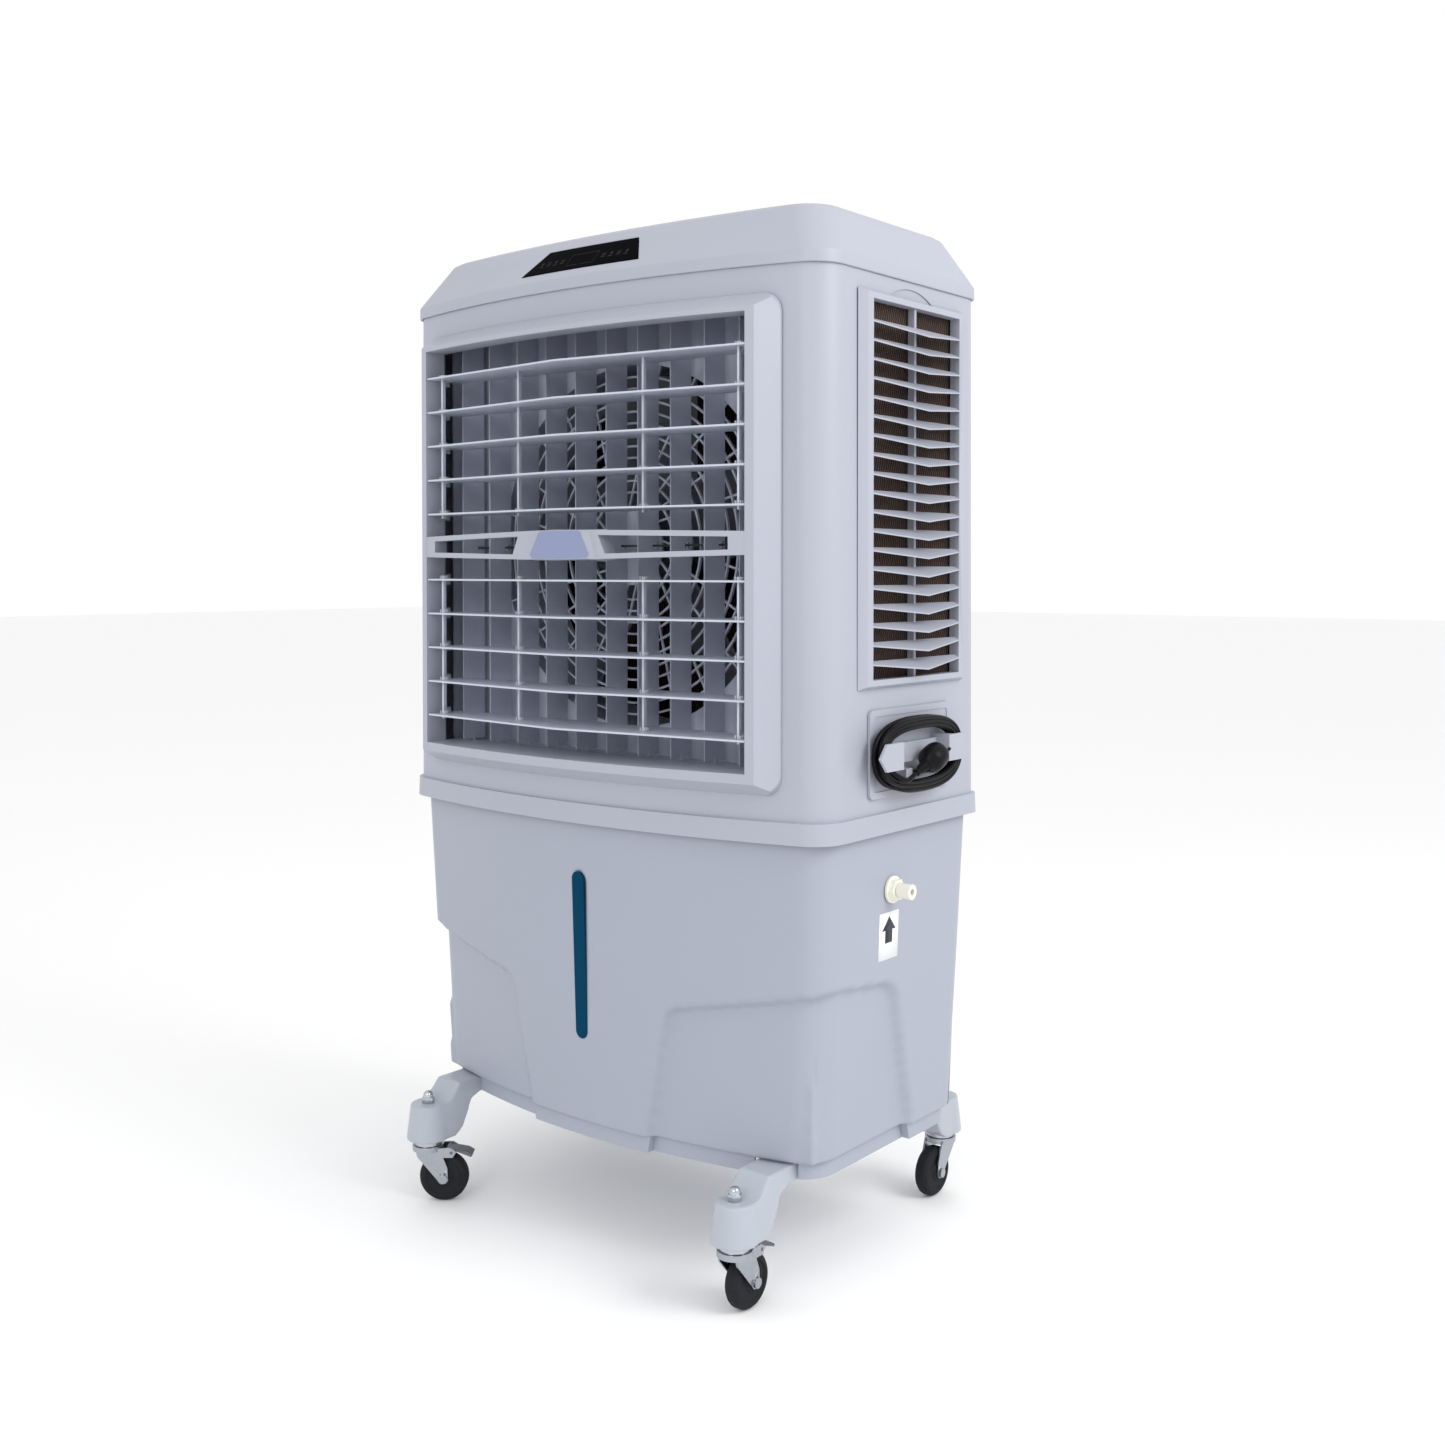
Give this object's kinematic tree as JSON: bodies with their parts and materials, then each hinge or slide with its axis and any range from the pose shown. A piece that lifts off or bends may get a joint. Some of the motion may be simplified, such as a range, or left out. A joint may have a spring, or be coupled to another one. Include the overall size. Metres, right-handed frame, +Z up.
{
  "type": "portable evaporative air cooler",
  "caption": "Portable evaporative air cooler on casters: louvred fan cabinet with wet pads behind side and rear covers, over a water tank.",
  "frame": {"origin": "on the floor under the middle of the cabinet", "axes": "+Z up; -Y is the way the air blows out; +X is the side with the cord plate and the water inlet"},
  "size_m": [0.8842, 0.59, 1.458],
  "materials": {
    "shell_plastic": "fine-grained moulded, pale grey",
    "white_plastic": "plain moulded",
    "panel_gloss": "glossy black",
    "window_plastic": "tinted, see-through",
    "pad_paper": "corrugated cellulose",
    "dark_plastic": "plain moulded",
    "rubber": "satin",
    "cord_rubber": "satin",
    "zinc": "bright zinc plate",
    "steel": "painted",
    "ivory_plastic": "plain moulded"
  },
  "bodies": {
    "cabinet": {"upper_casing": "shell_plastic", "top_cap": "shell_plastic", "control_panel": "panel_gloss", "louvre_frame": "shell_plastic", "swing_motor": "dark_plastic", "fan_guard": "shell_plastic", "fan_motor": "steel", "cooling_pads": "pad_paper", "water_distributor": "white_plastic", "water_tank": "shell_plastic", "level_window": "window_plastic", "inlet_valve": "ivory_plastic", "drain_plug": "dark_plastic", "pump": "white_plastic", "base_frame": "shell_plastic", "legs": "shell_plastic", "caster_mounts": "zinc", "cord_plate": "shell_plastic", "cord_coil": "cord_rubber", "cord_lead": "cord_rubber", "cord_tail": "cord_rubber", "plug": "cord_rubber"},
    "slat_01": {"slat_01": "shell_plastic"},
    "slat_02": {"slat_02": "shell_plastic"},
    "slat_03": {"slat_03": "shell_plastic"},
    "slat_04": {"slat_04": "shell_plastic"},
    "slat_05": {"slat_05": "shell_plastic"},
    "slat_06": {"slat_06": "shell_plastic"},
    "slat_07": {"slat_07": "shell_plastic"},
    "slat_08": {"slat_08": "shell_plastic"},
    "slat_09": {"slat_09": "shell_plastic"},
    "slat_10": {"slat_10": "shell_plastic"},
    "slat_link_upper": {"slat_link_upper": "dark_plastic"},
    "slat_link_lower": {"slat_link_lower": "dark_plastic"},
    "fin_01": {"fin_01": "shell_plastic"},
    "fin_02": {"fin_02": "shell_plastic"},
    "fin_03": {"fin_03": "shell_plastic"},
    "fin_04": {"fin_04": "shell_plastic"},
    "fin_05": {"fin_05": "shell_plastic"},
    "fin_06": {"fin_06": "shell_plastic"},
    "fin_07": {"fin_07": "shell_plastic"},
    "fin_08": {"fin_08": "shell_plastic"},
    "fin_09": {"fin_09": "shell_plastic"},
    "fin_10": {"fin_10": "shell_plastic"},
    "fin_11": {"fin_11": "shell_plastic"},
    "fin_link_bar": {"fin_link_bar": "dark_plastic"},
    "fan": {"fan": "white_plastic"},
    "side_cover_left": {"side_cover_left": "shell_plastic"},
    "side_cover_right": {"side_cover_right": "shell_plastic"},
    "rear_cover": {"rear_cover": "shell_plastic"},
    "caster_fork_front_left": {"caster_fork_front_left": "zinc"},
    "caster_wheel_front_left": {"caster_wheel_front_left": "rubber"},
    "caster_fork_front_right": {"caster_fork_front_right": "zinc"},
    "caster_wheel_front_right": {"caster_wheel_front_right": "rubber"},
    "caster_fork_rear_left": {"caster_fork_rear_left": "zinc"},
    "caster_wheel_rear_left": {"caster_wheel_rear_left": "rubber"},
    "caster_fork_rear_right": {"caster_fork_rear_right": "zinc"},
    "caster_wheel_rear_right": {"caster_wheel_rear_right": "rubber"},
    "brake_pedal_front_left": {"brake_pedal_front_left": "dark_plastic"},
    "brake_pedal_front_right": {"brake_pedal_front_right": "dark_plastic"}
  },
  "joints": [
    {"name": "slat_01_tilt", "type": "hinge", "parent": "cabinet", "child": "slat_01", "pos_m": [0, -0.215, 1.2645], "axis": [1, 0, 0], "range_deg": [-20, 20]},
    {"name": "slat_02_tilt", "type": "hinge", "parent": "cabinet", "child": "slat_02", "pos_m": [0, -0.215, 1.2125], "axis": [1, 0, 0], "range_deg": [-20, 20]},
    {"name": "slat_03_tilt", "type": "hinge", "parent": "cabinet", "child": "slat_03", "pos_m": [0, -0.215, 1.1605], "axis": [1, 0, 0], "range_deg": [-20, 20]},
    {"name": "slat_04_tilt", "type": "hinge", "parent": "cabinet", "child": "slat_04", "pos_m": [0, -0.215, 1.1085], "axis": [1, 0, 0], "range_deg": [-20, 20]},
    {"name": "slat_05_tilt", "type": "hinge", "parent": "cabinet", "child": "slat_05", "pos_m": [0, -0.215, 1.0565], "axis": [1, 0, 0], "range_deg": [-20, 20]},
    {"name": "slat_06_tilt", "type": "hinge", "parent": "cabinet", "child": "slat_06", "pos_m": [0, -0.215, 0.9565], "axis": [1, 0, 0], "range_deg": [-20, 20]},
    {"name": "slat_07_tilt", "type": "hinge", "parent": "cabinet", "child": "slat_07", "pos_m": [0, -0.215, 0.9045], "axis": [1, 0, 0], "range_deg": [-20, 20]},
    {"name": "slat_08_tilt", "type": "hinge", "parent": "cabinet", "child": "slat_08", "pos_m": [0, -0.215, 0.8525], "axis": [1, 0, 0], "range_deg": [-20, 20]},
    {"name": "slat_09_tilt", "type": "hinge", "parent": "cabinet", "child": "slat_09", "pos_m": [0, -0.215, 0.8005], "axis": [1, 0, 0], "range_deg": [-20, 20]},
    {"name": "slat_10_tilt", "type": "hinge", "parent": "cabinet", "child": "slat_10", "pos_m": [0, -0.215, 0.7485], "axis": [1, 0, 0], "range_deg": [-20, 20]},
    {"name": "slat_link_upper_pin", "type": "hinge", "parent": "slat_01", "child": "slat_link_upper", "pos_m": [0, -0.237, 1.2645], "axis": [1, 0, 0], "range_deg": [-20, 20]},
    {"name": "slat_link_lower_pin", "type": "hinge", "parent": "slat_06", "child": "slat_link_lower", "pos_m": [0, -0.237, 0.9565], "axis": [1, 0, 0], "range_deg": [-20, 20]},
    {"name": "fin_01_swing", "type": "hinge", "parent": "cabinet", "child": "fin_01", "pos_m": [-0.306, -0.159, 1.0065], "axis": [0, 0, 1], "range_deg": [-35, 35]},
    {"name": "fin_02_swing", "type": "hinge", "parent": "cabinet", "child": "fin_02", "pos_m": [-0.2448, -0.159, 1.0065], "axis": [0, 0, 1], "range_deg": [-35, 35]},
    {"name": "fin_03_swing", "type": "hinge", "parent": "cabinet", "child": "fin_03", "pos_m": [-0.1836, -0.159, 1.0065], "axis": [0, 0, 1], "range_deg": [-35, 35]},
    {"name": "fin_04_swing", "type": "hinge", "parent": "cabinet", "child": "fin_04", "pos_m": [-0.1224, -0.159, 1.0065], "axis": [0, 0, 1], "range_deg": [-35, 35]},
    {"name": "fin_05_swing", "type": "hinge", "parent": "cabinet", "child": "fin_05", "pos_m": [-0.0612, -0.159, 1.0065], "axis": [0, 0, 1], "range_deg": [-35, 35]},
    {"name": "fin_06_swing", "type": "hinge", "parent": "cabinet", "child": "fin_06", "pos_m": [0, -0.159, 1.0065], "axis": [0, 0, 1], "range_deg": [-35, 35]},
    {"name": "fin_07_swing", "type": "hinge", "parent": "cabinet", "child": "fin_07", "pos_m": [0.0612, -0.159, 1.0065], "axis": [0, 0, 1], "range_deg": [-35, 35]},
    {"name": "fin_08_swing", "type": "hinge", "parent": "cabinet", "child": "fin_08", "pos_m": [0.1224, -0.159, 1.0065], "axis": [0, 0, 1], "range_deg": [-35, 35]},
    {"name": "fin_09_swing", "type": "hinge", "parent": "cabinet", "child": "fin_09", "pos_m": [0.1836, -0.159, 1.0065], "axis": [0, 0, 1], "range_deg": [-35, 35]},
    {"name": "fin_10_swing", "type": "hinge", "parent": "cabinet", "child": "fin_10", "pos_m": [0.2448, -0.159, 1.0065], "axis": [0, 0, 1], "range_deg": [-35, 35]},
    {"name": "fin_11_swing", "type": "hinge", "parent": "cabinet", "child": "fin_11", "pos_m": [0.306, -0.159, 1.0065], "axis": [0, 0, 1], "range_deg": [-35, 35]},
    {"name": "fin_link_bar_pin", "type": "hinge", "parent": "fin_06", "child": "fin_link_bar", "pos_m": [0, -0.145, 1.0065], "axis": [0, 0, 1], "range_deg": [-35, 35]},
    {"name": "fan_spin", "type": "hinge", "parent": "cabinet", "child": "fan", "pos_m": [0, -0.07, 1.007], "axis": [0, 1, 0], "continuous": true},
    {"name": "side_cover_right_tilt", "type": "hinge", "parent": "cabinet", "child": "side_cover_right", "pos_m": [0.4104, 0.009, 0.811], "axis": [0, 1, 0], "range_deg": [0, 20]},
    {"name": "side_cover_left_tilt", "type": "hinge", "parent": "cabinet", "child": "side_cover_left", "pos_m": [-0.4104, 0.009, 0.811], "axis": [0, -1, 0], "range_deg": [0, 20]},
    {"name": "rear_cover_tilt", "type": "hinge", "parent": "cabinet", "child": "rear_cover", "pos_m": [0, 0.2089, 0.69], "axis": [-1, 0, 0], "range_deg": [0, 20]},
    {"name": "caster_front_left_swivel", "type": "hinge", "parent": "cabinet", "child": "caster_fork_front_left", "pos_m": [-0.3, -0.262, 0.0866], "axis": [0, 0, 1], "continuous": true},
    {"name": "caster_front_left_roll", "type": "hinge", "parent": "caster_fork_front_left", "child": "caster_wheel_front_left", "pos_m": [-0.2803, -0.24661, 0.0375], "axis": [-0.6157, 0.788, 0], "continuous": true},
    {"name": "caster_front_right_swivel", "type": "hinge", "parent": "cabinet", "child": "caster_fork_front_right", "pos_m": [0.3, -0.262, 0.0866], "axis": [0, 0, 1], "continuous": true},
    {"name": "caster_front_right_roll", "type": "hinge", "parent": "caster_fork_front_right", "child": "caster_wheel_front_right", "pos_m": [0.3, -0.237, 0.0375], "axis": [-1, 0, 0], "continuous": true},
    {"name": "caster_rear_left_swivel", "type": "hinge", "parent": "cabinet", "child": "caster_fork_rear_left", "pos_m": [-0.3, 0.262, 0.0866], "axis": [0, 0, 1], "continuous": true},
    {"name": "caster_rear_left_roll", "type": "hinge", "parent": "caster_fork_rear_left", "child": "caster_wheel_rear_left", "pos_m": [-0.30855, 0.23851, 0.0375], "axis": [0.9397, -0.342, 0], "continuous": true},
    {"name": "caster_rear_right_swivel", "type": "hinge", "parent": "cabinet", "child": "caster_fork_rear_right", "pos_m": [0.3, 0.262, 0.0866], "axis": [0, 0, 1], "continuous": true},
    {"name": "caster_rear_right_roll", "type": "hinge", "parent": "caster_fork_rear_right", "child": "caster_wheel_rear_right", "pos_m": [0.3, 0.237, 0.0375], "axis": [1, 0, 0], "continuous": true},
    {"name": "brake_front_left_press", "type": "hinge", "parent": "caster_fork_front_left", "child": "brake_pedal_front_left", "pos_m": [-0.27006, -0.23861, 0.0771], "axis": [-0.6157, 0.788, 0], "range_deg": [0, 5]},
    {"name": "brake_front_right_press", "type": "hinge", "parent": "caster_fork_front_right", "child": "brake_pedal_front_right", "pos_m": [0.3, -0.224, 0.0771], "axis": [-1, 0, 0], "range_deg": [0, 5]}
  ],
  "couplings": [
    {"joint": "slat_02_tilt", "follows": "slat_01_tilt", "ratio": 1},
    {"joint": "slat_03_tilt", "follows": "slat_01_tilt", "ratio": 1},
    {"joint": "slat_04_tilt", "follows": "slat_01_tilt", "ratio": 1},
    {"joint": "slat_05_tilt", "follows": "slat_01_tilt", "ratio": 1},
    {"joint": "slat_07_tilt", "follows": "slat_06_tilt", "ratio": 1},
    {"joint": "slat_08_tilt", "follows": "slat_06_tilt", "ratio": 1},
    {"joint": "slat_09_tilt", "follows": "slat_06_tilt", "ratio": 1},
    {"joint": "slat_10_tilt", "follows": "slat_06_tilt", "ratio": 1},
    {"joint": "slat_link_upper_pin", "follows": "slat_01_tilt", "ratio": -1},
    {"joint": "slat_link_lower_pin", "follows": "slat_06_tilt", "ratio": -1},
    {"joint": "fin_01_swing", "follows": "fin_06_swing", "ratio": 1},
    {"joint": "fin_02_swing", "follows": "fin_06_swing", "ratio": 1},
    {"joint": "fin_03_swing", "follows": "fin_06_swing", "ratio": 1},
    {"joint": "fin_04_swing", "follows": "fin_06_swing", "ratio": 1},
    {"joint": "fin_05_swing", "follows": "fin_06_swing", "ratio": 1},
    {"joint": "fin_07_swing", "follows": "fin_06_swing", "ratio": 1},
    {"joint": "fin_08_swing", "follows": "fin_06_swing", "ratio": 1},
    {"joint": "fin_09_swing", "follows": "fin_06_swing", "ratio": 1},
    {"joint": "fin_10_swing", "follows": "fin_06_swing", "ratio": 1},
    {"joint": "fin_11_swing", "follows": "fin_06_swing", "ratio": 1},
    {"joint": "fin_link_bar_pin", "follows": "fin_06_swing", "ratio": -1}
  ]
}
